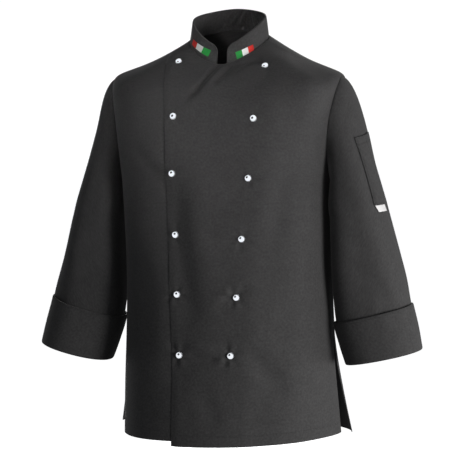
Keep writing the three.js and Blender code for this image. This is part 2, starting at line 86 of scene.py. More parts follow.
def add(tree, kind, inputs=(), **settings):
    """Adds one shader node. settings are its own properties, and inputs, by name or in order, are values or
    what feeds them: a socket, or a node for its first socket.
    """
    node = tree.nodes.new("ShaderNode" + kind)
    for name, value in settings.items():
        setattr(node, name, value)
    for name, value in inputs.items() if isinstance(inputs, dict) else enumerate(inputs):
        if isinstance(value, bpy.types.Node):
            value = value.outputs[0]
        if isinstance(value, bpy.types.NodeSocket):
            tree.links.new(value, node.inputs[name])
        else:
            node.inputs[name].default_value = value
    return node


def new_material(name):
    """An empty node material and its tree."""
    material = bpy.data.materials.new(name)
    material.use_nodes = True
    material.node_tree.nodes.clear()
    return material, material.node_tree


# Matt studio paint: plain, pale and without gloss, and lit evenly enough to meet the white room behind it.
floor_paint, tree = new_material("matt_studio_paint")
painted = add(tree, "BsdfPrincipled", {
    "Base Color": linear(PALE_PAINT), "Roughness": 0.9,
    "Emission Color": linear(PALE_PAINT), "Emission Strength": 1.0})
add(tree, "OutputMaterial", (painted,))

around = np.linspace(0, 2 * np.pi, 65)[:-1]
floor_mesh = bpy.data.meshes.new("studio_floor")
floor_edge = np.stack([FLOOR_REACH * np.cos(around), FLOOR_REACH * np.sin(around), around * 0 + FLOOR_HEIGHT], -1)
floor_mesh.from_pydata(floor_edge.tolist(), [], [list(range(64))])
floor_mesh.materials.append(floor_paint)
floor = bpy.data.objects.new("studio_floor", floor_mesh)
bpy.context.scene.collection.objects.link(floor)
floor.visible_diffuse = False
floor.visible_glossy = False

# The room is white to the camera, dim to the cloth, and to polished metal a white tent with one dark card in
# it, a disc about 26 degrees in radius.
ROOM_LIGHT, WHITE_LIGHT, TENT_LIGHT, CARD_LIGHT = 0.17, 1.05, 1.2, 0.05
CARD_DIRECTION, CARD_COSINE = (-0.40, -0.82, 0.41), 0.90
world = bpy.data.worlds.new("white_studio")
world.use_nodes = True
tree = world.node_tree
tree.nodes.clear()
ray = add(tree, "LightPath").outputs
room = add(tree, "Background", (linear("#e9edf2"), ROOM_LIGHT))
white = add(tree, "Background", (linear("#ffffff"), WHITE_LIGHT))
way = add(tree, "TexCoord").outputs["Generated"]
toward_card = add(tree, "VectorMath", (way, CARD_DIRECTION), operation="DOT_PRODUCT").outputs["Value"]
card = add(tree, "Math", (toward_card, CARD_COSINE), operation="GREATER_THAN")
mirrored = add(tree, "Math", (card, CARD_LIGHT - TENT_LIGHT, TENT_LIGHT), operation="MULTIPLY_ADD")
tent = add(tree, "Background", (linear("#f4f6f9"), mirrored))
seen = add(tree, "MixShader", (ray["Is Camera Ray"], room, white))
add(tree, "OutputWorld", (add(tree, "MixShader", (ray["Is Singular Ray"], seen, tent)),))
bpy.context.scene.world = world
bpy.context.scene.view_settings.view_transform = "Standard"

polished = bpy.data.collections.new("polished_pieces")


def soft_box(name, place, aim, size, power, spread=180):
    """A square area light at a place, turned to face a point. spread is how wide its grid lets it shine.

    The polished pieces are lit by the white tent alone, so no lamp glares in them.
    """
    lamp = bpy.data.lights.new(name, "AREA")
    lamp.shape = "SQUARE"
    lamp.size = size
    lamp.energy = power
    lamp.spread = math.radians(spread)
    box = bpy.data.objects.new(name, lamp)
    box.location = place
    away = np.array(aim, float) - np.array(place, float)
    flat = math.hypot(away[0], away[1])
    box.rotation_euler = (math.atan2(flat, -away[2]), 0, math.atan2(away[1], away[0]) - math.pi / 2)
    box.light_linking.receiver_collection = polished
    bpy.context.scene.collection.objects.link(box)


soft_box("key_box", (2.60, -1.50, -0.55), (0, 0, -0.3), 1.3, 84)
soft_box("front_box", (0.3, -3.2, 0.2), (0, 0, -0.35), 1.6, 5)
soft_box("chest_box", (-0.3, -2.4, 0.1), (-0.05, -0.14, -0.10), 0.3, 0.18, spread=14)
soft_box("right_rim_box", (2.4, 0.9, -1.0), (0.2, 0, -0.3), 1.0, 18)
soft_box("left_rim_box", (-2.6, 1.2, -0.8), (-0.1, 0, -0.3), 1.0, 5)
soft_box("back_box", (-1.3, 2.9, -0.2), (0, 0, -0.35), 1.6, 60)


# Over front
# The wearer's left front, which laps right across to the right. One panel of charcoal twill with its free
# edge turned in and pressed, its hem turned up once and stitched, and its top sewn into the collar and
# shoulder seam.
CLOTH = 1.4
SEAM_GAP = 0.3
LIFT = CLOTH + 1.2
ARMPIT, HEM, VENT_TOP = -250.0, -714.0, -528.0
VENT_HEIGHT = -(ARMPIT - VENT_TOP) / (ARMPIT - HEM)
TORSO = {
    "z": [-720, -620, -528, -430, -330, -250],
    "middle": [3.5, 3.5, 3.5, 3, 2, 0],
    "side": [197, 195, 191, 187, 187, 189],
    "front": [152, 150, 148, 147, 146, 143],
    "back": [150, 143, 137, 132, 134, 138],
    "squareness": [2.3, 2.35, 2.45, 2.65, 2.95, 3.1],
}
BACK_SQUARENESS = 2.25
RAMP_START, RAMP_WIDTH = 3.2, 14.0
HEM_STITCH, NECK_STITCH = 19.0, 5.0
NECK = {
    "turn": [-25, 0, 25, 50, 90, 135, 180, 225],
    "radius": [62, 61, 62, 67, 73, 72, 70, 72],
    "z": [-38.5, -45, -38.5, -23, 4, 20, 27, 20],
}
CLOSURE = {
    "z": [-720, -553, -447, -341, -235, -155, -105, -70, -50],
    "middle": [-10, -9, -6, -4, 1, 3, 4, 4, 4],
    "reach": [60, 60, 67, 72, 81, 87, 94, 102, 106],
}
# Each row: the stud on the wearer's right and the one on the left, as x and z.
STUDS = [
    ((-76, -40), (84, -50)),
    ((-68, -136), (76, -140)),
    ((-67, -235), (69, -242)),
    ((-64, -342), (56, -347)),
    ((-62, -447), (46, -449)),
    ((-58, -554), (36, -551)),
]
# Folds pressed into the fronts by wear, from the neck down: a path of x and z, then depth, half width, and
# the share of the depth that rises again as a ridge on the path's left.
FRONT_FOLDS = [
    ([(8, -30), (-5, -47), (-19, -68), (-33, -90), (-54, -112)], 3.4, 6, 0.6),
    ([(36, -34), (22, -48), (10, -64), (-5, -84)], 2.9, 6, 0.6),
    ([(60, -32), (40, -46), (22, -66), (12, -88)], 2.4, 6.5, 0.6),
    ([(20, -45), (48, -41), (78, -37)], 2.8, 4.5, 0.5),
    ([(-78, -30), (-37, -34), (-8, -43)], 2.0, 4.5, 0.4),
    ([(58, -110), (80, -80), (100, -62)], 1.8, 10, 0.4),
    ([(44, -20), (80, -29), (133, -56), (172, -80), (216, -108)], -6.5, 14, 0),
    ([(-44, -20), (-80, -29), (-133, -56), (-172, -80), (-216, -108)], -3.5, 14, 0),
    ([(150, -160), (128, -120), (112, -84)], 1.6, 14, 0.4),
    ([(-88, -205), (-82, -330), (-72, -430), (-60, -520), (-54, -600), (-60, -730)], 3.6, 34, 0.5),
    ([(-72, -170), (-62, -250), (-54, -340), (-42, -430), (-28, -540)], 4.2, 21, 0.6),
    ([(-50, -556), (-28, -555), (4, -557), (30, -551)], 3.4, 9, 0.7),
    ([(48, -540), (72, -548), (110, -590), (140, -640)], 2.6, 17, 0.6),
    ([(10, -478), (34, -456), (66, -436), (92, -432)], 2.2, 9, 0.5),
    ([(12, -250), (42, -266), (66, -244)], 1.6, 11, 0.5),
    ([(-20, -330), (14, -352), (50, -356), (84, -340)], 1.6, 13, 0.5),
    ([(-156, -176), (-112, -226), (-82, -252), (-68, -272)], 2.0, 11, 0.5),
    ([(150, -190), (128, -270), (118, -380)], 2.4, 22, 0.5),
    ([(-142, -330), (-120, -460), (-128, -600)], 3.0, 24, 0.5),
    ([(150, -420), (120, -520), (100, -660)], 2.6, 24, 0.4),
    ([(-20, -600), (6, -650), (10, -700)], 1.6, 16, 0.4),
]


def curve(table, key, at, column):
    """Catmull-Rom curve: a cubic between the two rows round a key, each with the slope of its neighbours."""
    keys, values = np.array(table[key], float), np.array(table[column], float)
    low = np.searchsorted(keys[1:-1], at)
    span = keys[low + 1] - keys[low]
    s = np.clip((at - keys[low]) / span, 0, 1)
    order = np.arange(len(keys))
    before, after = np.maximum(order - 1, 0), np.minimum(order + 1, len(keys) - 1)
    slope = (values[after] - values[before]) / (keys[after] - keys[before])
    rise = (2 * s**3 - 3 * s**2 + 1) * values[low] + (s**3 - 2 * s**2 + s) * slope[low] * span
    return rise + (3 * s**2 - 2 * s**3) * values[low + 1] + (s**3 - s**2) * slope[low + 1] * span


def ease(x):
    """Smooth step: three squares less two cubes of x, held between 0 and 1."""
    x = np.clip(x, 0, 1)
    return x * x * (3 - 2 * x)


def ring(angle, side, fore, aft, squareness):
    """Radius of a squared-off ellipse, from the sum of its two axis shares to a power above 2."""
    deep = np.where(np.sin(angle) < 0, fore, aft)
    across = np.abs(np.cos(angle) / side) ** squareness
    return (across + np.abs(np.sin(angle) / deep) ** squareness) ** (-1 / squareness)


def torso_ring(t, z):
    """Radius of the level ring of the torso at height z."""
    side, fore, aft, square = (curve(TORSO, "z", z, column) for column in ("side", "front", "back", "squareness"))
    return ring(np.radians(t), side, fore, aft, np.where(np.sin(np.radians(t)) < 0, square, BACK_SQUARENESS))


def vent_flare(t, z, back):
    """How far cloth swings out beside an open vent: a bell round the vent's edge that grows towards the hem."""
    opened = np.clip((VENT_TOP - z) / (VENT_TOP - HEM), 0, 1.05) ** 1.4
    edge = 5.0 if back else -5.4
    left, right = (29, 22) if back else (16, 0)
    from_left = (np.mod(t - edge + 540, 360) - 180) / 14
    from_right = (np.mod(180 - edge - t + 540, 360) - 180) / 14
    return opened * (left * np.exp(-(from_left**2)) + right * np.exp(-(from_right**2)))


def turned_from_front(t):
    """Angle between a direction and the centre front, without its sign."""
    return np.abs(np.mod(t + 630, 360) - 180)


def torso(t, height, hem=HEM, back=False):
    """Point of the body's cloth at angle t and height, from -1 at the hem to 0 at the armpit and 1 at the neck.

    Below the armpit it is a level ring. Above, each angle has a conic from the armpit ring to the neck ring
    with a weighted knee between them, sharp over the sleeves and soft at the front and back, less a hollow at
    the shoulder.
    """
    t, height, hem = np.broadcast_arrays(np.asarray(t, float), height, hem)
    turn = np.radians(t)
    z = ARMPIT + (hem - ARMPIT) * np.clip(-height, 0, None)
    r = torso_ring(t, z) + vent_flare(t, z, back)
    low = np.stack([curve(TORSO, "z", z, "middle") + r * np.cos(turn), r * np.sin(turn), z], -1)
    side, front = np.abs(np.cos(turn)), np.sin(turn) < 0
    near = side ** np.where(front, 6, 2)
    knee_r = torso_ring(t, ARMPIT) + np.where(front, 2, 6) * (1 - near) + 30 * near
    knee_z = np.where(front, -95, -38) * (1 - near) - 58 * near
    pull = side ** np.where(front, 6, 5)
    weight = np.where(front, 1.1, 1.2) * (1 - pull) + 10 * pull
    h = np.clip(height, 0, 1)
    half = np.minimum(h, 1 - h) * 4 * weight / (1 + 2 * weight)
    s = half / (half + 2 * weight * (1 - half))
    s = np.where(h <= 0.5, s, 1 - s)
    a, b, c = (1 - s) ** 2, 2 * s * (1 - s) * weight, s**2
    neck_r, neck_z = (curve(NECK, "turn", turned_from_front(t), column) for column in ("radius", "z"))
    r = (a * torso_ring(t, ARMPIT) + b * knee_r + c * neck_r) / (a + b + c)
    hollow = 7 * near * np.sin(np.pi * np.clip(2 * h - 1, 0, None))
    z = (a * ARMPIT + b * knee_z + c * neck_z) / (a + b + c) - hollow
    high = np.stack([r * np.cos(turn), r * np.sin(turn), z], -1)
    return np.where((height <= 0)[..., None], low, high)


def unit(v):
    """Vectors brought to length 1."""
    return v / np.linalg.norm(v, axis=-1, keepdims=True)


def torso_normal(t, height):
    """Outward direction of the body's cloth: its slope along the ring crossed with its slope up the body."""
    up = torso(t, np.minimum(height + 0.004, 1)) - torso(t, np.maximum(height - 0.004, -1))
    return unit(np.cross(torso(t + 0.5, height) - torso(t - 0.5, height), up))


def front_edge(height, side):
    """Angle of a front's free edge at a height: where the ring meets the closure's middle and its reach."""
    z = torso(np.full(height.shape, -90.0), height)[..., 2]
    x = curve(CLOSURE, "z", z, "middle") + side * curve(CLOSURE, "z", z, "reach")
    near, far = np.full(height.shape, -90.0), np.full(height.shape, -8.0 if side > 0 else -172.0)
    for _ in range(40):
        middle = (near + far) / 2
        found = torso(middle, height)[..., 0]
        past = np.where(x < 0, found < x, found > x)
        near, far = np.where(past, near, middle), np.where(past, middle, far)
    return (near + far) / 2


def armhole_angle(turn, reach):
    """Angle of the armhole's edge at a turn round it: 0 is the armpit, 180 the shoulder point."""
    return -4 * turn / 180 + reach * np.clip(np.sin(np.radians(turn)), 0, None) ** 0.9


def close_ends(count, length, ends=(0.5, 1.2, 2.4)):
    """Even steps from 0 to 1 along a run, with a few more close to each end, given in mm as its length is."""
    near = np.array(ends) / length
    return np.r_[0, near, np.linspace(2.2 * near[-1], 1 - 2.2 * near[-1], count), 1 - near[::-1], 1]


def body_rows():
    """Heights of a body panel's rows from hem to neck, how far its vent is open and its turn at the armhole."""
    vent = np.r_[np.array([0, 0.5, 1.2, 2.4]) / 186, np.linspace(5 / 186, 1, 58)[:-1]]
    side = np.linspace(0, 1, 91)[:-1]
    arm = np.linspace(0, 1, 71)[:-1]
    top = np.r_[np.linspace(0, 1, 46)[:-1] * 0.985, 0.985, 0.991, 0.996, 1]
    round_arm = 0.25 * (1 - np.cos(np.pi * arm))
    height = np.r_[-1 + vent * (1 + VENT_HEIGHT), VENT_HEIGHT * (1 - side), round_arm, 0.5 + top / 2]
    opened = np.r_[1 - vent, side * 0, arm * 0, top * 0]
    turn = np.r_[vent * 0, side * 0, 180 * arm, top * 0 + 180]
    return height, opened, turn


def side_edge(turn, opened, back):
    """Angle of a body panel's side edge on the wearer's left, half a seam's gap short of its neighbour."""
    sign, reach, vent = (1, 22, 5.0) if back else (-1, 17.2, -5.4)
    return armhole_angle(turn, sign * reach) + vent * opened + sign * math.degrees(SEAM_GAP / 2 / 190) * 1.2


def fold(x, z, path, depth, width, ridge):
    """A soft fold: a bell-shaped trough along a path with a low, wide ridge on its left, faded at both ends."""
    best = np.full(x.shape, 1e9)
    sideways, along = np.zeros(x.shape), np.zeros(x.shape)
    path = np.array(path, float)
    steps = np.linalg.norm(np.diff(path, axis=0), axis=1)
    start = np.r_[0, np.cumsum(steps)]
    for k, step in enumerate(steps):
        way = (path[k + 1] - path[k]) / step
        dx, dz = x - path[k, 0], z - path[k, 1]
        forward = np.clip(dx * way[0] + dz * way[1], 0, step)
        away = np.hypot(dx - forward * way[0], dz - forward * way[1])
        nearer = away < best
        best = np.where(nearer, away, best)
        side = np.sign(way[0] * dz - way[1] * dx)
        sideways = np.where(nearer, side * away, sideways)
        along = np.where(nearer, (start[k] + forward) / start[-1], along)
    fade = ease(along / 0.35) * ease((1 - along) / 0.35)
    trough = np.exp(-((sideways / width) ** 2))
    crest = ridge * np.exp(-(((sideways - 1.9 * width) / (1.3 * width)) ** 2))
    return depth * fade * (crest - trough)


def front_relief(points):
    """How far the fronts' cloth stands off its plain form: folds, the pull of each stud, and slow waves."""
    x, z = points[..., 0], points[..., 2]
    relief = sum(fold(x, z, *row) for row in FRONT_FOLDS)
    for row, pair in enumerate(STUDS):
        for side, (sx, sz) in enumerate(pair):
            away, angle = np.hypot(x - sx, z - sz), np.arctan2(z - sz, x - sx)
            strength = (0.8, 0.8, 0.9, 1.2, 1.8, 2.0)[row] * (1.0, 1.25)[side]
            star = np.cos(5 * angle + row + 2 * side) + 0.6 * np.cos(3 * angle - 2 * row)
            relief = relief - 1.1 * strength * np.exp(-((away / 11) ** 2))
            relief = relief + 0.45 * strength * star * ease((away - 5) / 7) * np.exp(-(((away - 13) / 9) ** 2))
    waves = 0.8 * np.sin(x / 31 + z / 57 + 1.1) + 0.6 * np.sin(x / 47 - z / 73 + 4.0)
    waves = waves + 0.35 * np.sin(x / 17 - z / 23 + 2.4) * np.sin(z / 61)
    return relief + waves * ease((170 - np.abs(x)) / 60)


def shell(name, outer, inner, looped, maps):
    """Closed shell of cloth from two grids of points in mm, one for each face.

    Cell (i, j) of a face joins the points (i, j), (i, j + 1), (i + 1, j + 1) and (i + 1, j), and strips join
    the two faces round their edges. A looped shell joins its last column to its first. maps holds UV maps as
    two grids each, with one column more than the points where the shell is looped.
    """
    rows, columns = outer.shape[:2]
    last = columns if looped else columns - 1

    def cells(spots):
        spots = [np.broadcast_arrays(*spot) for spot in spots]
        return np.stack([np.stack([part.ravel() for part in spot], -1) for spot in spots], 1)

    i, j = np.meshgrid(np.arange(rows - 1), np.arange(last), indexing="ij")
    faces = [
        cells([(0, i, j), (0, i, j + 1), (0, i + 1, j + 1), (0, i + 1, j)]),
        cells([(1, i, j), (1, i + 1, j), (1, i + 1, j + 1), (1, i, j + 1)]),
    ]
    j, top = np.arange(last), rows - 1
    faces.append(cells([(0, 0, j), (1, 0, j), (1, 0, j + 1), (0, 0, j + 1)]))
    faces.append(cells([(0, top, j), (0, top, j + 1), (1, top, j + 1), (1, top, j)]))
    if not looped:
        i, end = np.arange(rows - 1), columns - 1
        faces.append(cells([(0, i, 0), (0, i + 1, 0), (1, i + 1, 0), (1, i, 0)]))
        faces.append(cells([(0, i, end), (1, i, end), (1, i + 1, end), (0, i + 1, end)]))
    faces = np.concatenate(faces)
    points = np.concatenate([outer.reshape(-1, 3), inner.reshape(-1, 3)]) / 1000
    index = faces[..., 0] * rows * columns + faces[..., 1] * columns + faces[..., 2] % columns
    a, b, c, d = (points[index[:, k]] for k in range(4))
    if (a * (np.cross(b, c) + np.cross(c, d))).sum() < 0:
        faces, index = faces[:, ::-1], index[:, ::-1]
    mesh = bpy.data.meshes.new(name)
    mesh.from_pydata(points.tolist(), [], index.tolist())
    mesh.polygons.foreach_set("use_smooth", np.ones(len(index), bool))
    for map_name, (u, v) in maps.items():
        layer = mesh.uv_layers.new(name=map_name)
        spots = faces.reshape(-1, 3)
        row, column = spots[:, 1], spots[:, 2]
        layer.data.foreach_set("uv", np.stack([u[row, column], v[row, column]], -1).ravel())
    piece = bpy.data.objects.new(name, mesh)
    bpy.context.scene.collection.objects.link(piece)
    return piece


def grid_normals(points, looped, outward):
    """Unit normals of a grid: its slopes along rows and columns crossed, on the side outward points to."""
    across = np.roll(points, -1, 1) - np.roll(points, 1, 1) if looped else np.gradient(points, axis=1)
    normal = unit(np.cross(across, np.gradient(points, axis=0)))
    return normal * np.sign((normal * outward).sum(-1, keepdims=True))


def run_lengths(points, axis, closed=False):
    """Distance along a grid's rows or columns, in mm. A closed run has one more entry, back at its start."""
    if closed:
        points = np.concatenate([points, points[:, :1]], 1)
    steps = np.linalg.norm(np.diff(points, axis=axis), axis=-1)
    return np.cumsum(np.insert(steps, 0, 0, axis=axis), axis=axis)


def rolled(distance, depth=0.7):
    """How far a seam's edge rolls in: its depth at the edge, gone 3 mm from it."""
    return -depth * np.exp(-((distance / 1.3) ** 2))


# Cotton and polyester twill, dyed charcoal, woven and lightly calendered: matt with a soft satin bloom at a
# slant. Real twill has a wale every 0.7 mm. It is drawn at 1.5 mm, the finest that shows at this size, and
# the stitches (3 mm apart, of 0.5 mm thread) are drawn 0.9 mm wide for the same reason.
WALE_MM = 1.5
STITCH_MM, STITCH_SHARE, THREAD_MM, DITCH_MM = 3.0, 0.74, 0.9, 2.2
CHARCOAL = "#353434"
# Uneven dye and wear: the scale, detail, roughness and share of the fine, middle and broad clouds in it.
TWILL_CLOUDS = [(0.24, 5.0, 0.65, 1.5), (0.06, 3.0, 0.6, 0.45), (0.012, 2.0, 0.5, 0.25)]


def charcoal_twill(name, lines=(), patches=None, ditch_painted_shade=0.22):
    """Charcoal twill on the UV map "cloth" in mm, stitched along x = 0 of each of the UV maps in lines.

    The ditch of a stitched line is darkened by painted shade, by the amount in the last argument, and patches
    adds colours to the finished cloth.
    """
    material, tree = new_material(name)
    spot = add(tree, "UVMap", uv_map="cloth")

    def turns(per_u, per_v):
        per_mm = (2 * math.pi * per_u, 2 * math.pi * per_v, 0)
        dot = add(tree, "VectorMath", (spot, per_mm), operation="DOT_PRODUCT")
        return add(tree, "Math", (dot.outputs["Value"],), operation="SINE")

    wale = turns(0.8 / WALE_MM, 0.6 / WALE_MM)
    thread = turns(-0.9 / WALE_MM, 1.2 / WALE_MM)
    weave = add(tree, "Math", (thread, 0.35, wale), operation="MULTIPLY_ADD")
    shade = -0.05
    for scale, detail, roughness, share in TWILL_CLOUDS:
        cloud = add(tree, "TexNoise", {"Vector": spot, "Scale": scale, "Detail": detail, "Roughness": roughness})
        shade = add(tree, "Math", (cloud, share, shade), operation="MULTIPLY_ADD")
    shade = add(tree, "Math", (weave, 0.06, shade), operation="MULTIPLY_ADD")
    height = add(tree, "Math", (weave, 0.10), operation="MULTIPLY")
    for line in lines:
        apart = add(tree, "SeparateXYZ", (add(tree, "UVMap", uv_map=line),))
        away = add(tree, "Math", (apart.outputs["X"],), operation="ABSOLUTE")
        stitch = add(tree, "Math", (apart.outputs["Y"], 1 / STITCH_MM), operation="MULTIPLY")
        stitch = add(tree, "Math", (stitch,), operation="FRACT")
        dash = add(tree, "Math", (stitch, STITCH_SHARE), operation="LESS_THAN")
        close = add(tree, "Math", (away, THREAD_MM / 2), operation="LESS_THAN")
        sewn = add(tree, "Math", (close, dash), operation="MULTIPLY")
        reach = {"Value": away, "From Min": 0.0, "From Max": DITCH_MM, "To Min": 1.0, "To Max": 0.0}
        ditch = add(tree, "MapRange", reach, interpolation_type="SMOOTHSTEP")
        # Painted shade: the colour is darkened in the ditch beside the stitches. The real groove is the bump
        # below.
        shade = add(tree, "Math", (ditch, -ditch_painted_shade, shade), operation="MULTIPLY_ADD")
        shade = add(tree, "Math", (sewn, 0.35, shade), operation="MULTIPLY_ADD")
        height = add(tree, "Math", (ditch, -0.8, height), operation="MULTIPLY_ADD")
        height = add(tree, "Math", (sewn, 0.7, height), operation="MULTIPLY_ADD")
    dye = add(tree, "CombineColor", (shade, shade, shade))
    dyed = add(tree, "Mix", {6: dye, 7: linear(CHARCOAL), 0: 1.0}, data_type="RGBA", blend_type="MULTIPLY")
    colour = patches(tree, dyed.outputs[2]) if patches else dyed.outputs[2]
    cloth = add(tree, "BsdfPrincipled", {
        "Base Color": colour, "Roughness": 0.78, "IOR": 1.5, "Specular IOR Level": 0.28,
        "Sheen Weight": 0.14, "Sheen Roughness": 0.45, "Sheen Tint": linear("#c9c6c4"),
        "Normal": add(tree, "Bump", {"Height": height, "Strength": 0.6, "Distance": 0.0004}),
    })
    add(tree, "OutputMaterial", (cloth,))
    return material


heights, vent_open, arm_turn = body_rows()
over_edge, under_edge = front_edge(heights, -1), front_edge(heights, 1)
row_height = heights[:, None]


def over_lift(t):
    """The over front rises in a long ramp over the under front, and its free edge is pressed down."""
    pressed = 1.45 * np.exp(-(((t - over_edge[:, None]) / 3.0) ** 2))
    return LIFT * (1 - ease((t - under_edge[:, None] - RAMP_START) / RAMP_WIDTH)) - pressed


def body_panel(name, t, hem, back, relief, lift, edges):
    """A body panel over a grid of angles: the torso's surface, lifted, with its relief faded at sewn edges.

    Where its right edge isn't sewn, that edge is free: pressed thinner over its last millimetres and rolled in.
    """
    plain = torso(t, row_height, hem, back)
    normal = torso_normal(t, row_height)
    across, down = run_lengths(plain, 1), run_lengths(plain, 0)
    far, top = across[:, -1:] - across, down[-1:] - down
    sewn = {"left": across, "right": far, "top": top}
    outer = plain + normal * lift[..., None]
    calm = np.ones(t.shape)
    for edge in edges:
        roll, calm_width = (0.45, 9) if edge == "top" else (0.25, 26)
        outer = outer + normal * rolled(sewn[edge], roll)[..., None]
        calm = calm * ease(sewn[edge] / calm_width)
    outer = outer + normal * (relief(plain) * calm)[..., None]
    facing = grid_normals(outer, False, normal)
    maps = {"cloth": (far, down), "hem": (down - HEM_STITCH, across), "neck": (top - NECK_STITCH, across)}
    free = "right" not in edges
    roll = free * rolled(far, 0.3)
    thick = CLOTH + roll - free * 0.7 * np.exp(-((far / 8) ** 2))
    outer = outer + normal * roll[..., None]
    piece = shell(f"{name}_cloth", outer, outer - facing * thick[..., None], False, maps)
    piece.data.materials.append(charcoal_twill(f"twill_{name}", ("hem", "neck")))
    return piece


over_columns = close_ends(140, 400)
over_t = side_edge(arm_turn, vent_open, False)[:, None] * (1 - over_columns) + over_edge[:, None] * over_columns
over_hem = -713.5 + 0.05 * torso(over_t, -1)[..., 0]
over_front = body_panel("over_front", over_t, over_hem, False, front_relief, over_lift(over_t), ("left", "top"))
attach(over_front, "root")
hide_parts("front_over")


# Under front
# The wearer's right front, which lies under the other and shows from the over front's free edge round to the
# right side seam. Cut from the same twill, with its hem a little higher.
under_columns = close_ends(126, 380)
under_side = -180 - side_edge(arm_turn, vent_open, False)[:, None]
under_t = under_edge[:, None] * (1 - under_columns) + under_side * under_columns
under_hem = -704 + 0.06 * np.minimum(torso(under_t, -1)[..., 0], CLOSURE["middle"][0])
under_front = body_panel("under_front", under_t, under_hem, False, front_relief, under_t * 0, ("right", "top"))
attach(under_front, "root")
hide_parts("front_under")


# Back
# One panel from side seam to side seam, sewn to the fronts at the shoulders and sides and left open below as
# a vent each side. It hangs from the shoulder blades in long soft folds and dips a little at the middle of
# its hem.
BACK_FOLDS = [
    ([(-88, -70), (-96, -240), (-84, -420), (-98, -700)], 4.2, 30, 0.5),
    ([(92, -80), (86, -260), (98, -460), (90, -700)], 3.8, 28, 0.5),
    ([(-30, -300), (-22, -460), (-34, -700)], 2.2, 24, 0.4),
    ([(34, -420), (26, -560), (38, -700)], 2.0, 22, 0.4),
    ([(-128, -350), (-60, -368), (6, -358)], 2.4, 14, 0.6),
    ([(130, -392), (70, -404), (10, -394)], 2.2, 13, 0.6),
    ([(-12, 10), (-40, -24), (-84, -50)], 1.6, 11, 0.5),
    ([(16, 8), (46, -22), (90, -46)], 1.6, 11, 0.5),
    ([(-150, -190), (-120, -250), (-104, -330)], 2.6, 16, 0.5),
    ([(152, -180), (124, -244), (110, -320)], 2.6, 16, 0.5),
]


def back_relief(points):
    """Long drapes, slack creases above the waist and slow waves, by x and z."""
    x, z = points[..., 0], points[..., 2]
    relief = sum(fold(x, z, *row) for row in BACK_FOLDS)
    waves = 0.9 * np.sin(x / 36 + z / 90 + 0.4) + 0.6 * np.sin(x / 21 - z / 110 + 2.0)
    return relief + waves * ease((170 - np.abs(x)) / 60)


back_columns = close_ends(146, 470)
back_side = side_edge(arm_turn, vent_open, True)[:, None]
back_t = back_side * (1 - back_columns) + (180 - back_side) * back_columns
back_hem = -710 - 10 * np.sin(np.radians(back_t)) ** 2
back = body_panel("back", back_t, back_hem, True, back_relief, back_t * 0, ("left", "right", "top"))
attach(back, "root")
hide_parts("back")


# Sleeves
# Set-in sleeves, full length and wide at the wrist, each one piece of twill with an easy head and a soft fold
# inside the elbow. They hang just clear of the body.
SLEEVE = {
    "i": [0, 1, 2, 3, 4, 5, 6],
    "x": [241, 248, 255, 262, 269, 279, 288],
    "y": [-6, -7, -8, -9, -10, -11, -12],
    "z": [-300, -345, -395, -440, -485, -524, -560],
    "tilt": [17, 16, 16, 16, 15, 14, 13],
    "side": [48, 54, 61, 66, 68, 68, 67],
    "fore": [80, 75, 69, 62, 58, 57, 57],
    "squareness": [2.9, 2.8, 2.7, 2.5, 2.3, 2.2, 2.2],
}
RIGHT_SLEEVE = {
    "z": [-600, -556, -470, -380, -250, -185, -130, -60],
    "inner": [-5, -2, 0, 1, 0, 0, 0, 0],
    "outer": [-5, -2, 2, 7, 10, 12, 13, 8],
    "drop": [9, 9, 9, 5, 0, 0, 0, 0],
}
SLEEVE_END = 7
ARMHOLE_SEAM, ARMHOLE_REACH = 0.15, 80
ELBOW_FOLD = {"depth": 5, "ring": 0.6, "ends": 3.4, "turn": 50, "spread": 26}
# Folds of a sleeve: a path of the turn round it, in mm at 1.15 mm a degree, and z. 0 faces the body, 104 the
# front and 207 the outside.
MM_A_DEGREE = 1.15
SLEEVE_FOLDS = {
    "left": [
        ([(40, -215), (82, -262), (120, -330)], 1.0, 18, 0.5),
        ([(62, -330), (96, -352), (134, -392)], 0.8, 15, 0.5),
        ([(58, -392), (92, -398), (128, -430)], 0.8, 14, 0.5),
        ([(150, -90), (140, -200), (148, -330)], 1.2, 24, 0.4),
        ([(214, -150), (220, -300), (206, -430)], 2.4, 22, 0.4),
        ([(120, -400), (140, -460), (134, -520)], 2.0, 16, 0.5),
        ([(262, -200), (300, -262), (330, -300)], 3.2, 16, 0.5),
        ([(250, -330), (296, -356), (346, -350)], 3.0, 12, 0.6),
        ([(256, -386), (300, -404), (342, -396)], 2.4, 12, 0.6),
        ([(272, -440), (280, -500), (268, -540)], 2.0, 18, 0.4),
    ],
    "right": [
        ([(44, -200), (84, -250), (112, -330)], 1.8, 17, 0.5),
        ([(58, -344), (92, -362), (138, -402)], 1.2, 14, 0.5),
        ([(60, -410), (98, -420), (126, -452)], 1.2, 14, 0.5),
        ([(132, -110), (122, -220), (126, -380)], 2.6, 20, 0.5),
        ([(196, -130), (204, -290), (186, -450)], 2.6, 22, 0.4),
        ([(268, -190), (304, -258), (334, -310)], 3.0, 16, 0.5),
        ([(246, -342), (294, -366), (340, -362)], 2.8, 12, 0.6),
        ([(262, -398), (304, -414), (344, -410)], 2.4, 12, 0.6),
        ([(150, -430), (158, -490), (146, -545)], 2.0, 16, 0.5),
    ],
}


def armhole(turn):
    """Point of the armhole's loop on the left, drawn in to a third of a millimetre inside the panels' edges."""
    along = np.where(turn <= 180, turn, 360 - turn)
    shrink = 1 - ARMHOLE_SEAM / ARMHOLE_REACH
    t = armhole_angle(along, np.where(turn <= 180, -17.2, 22.0) * shrink)
    height = 0.25 * (1 - np.cos(np.radians(along)) * shrink)
    return torso(t, height) + torso_normal(t, height) * (0.8 * np.cos(np.radians(along / 2)) ** 8)[..., None]


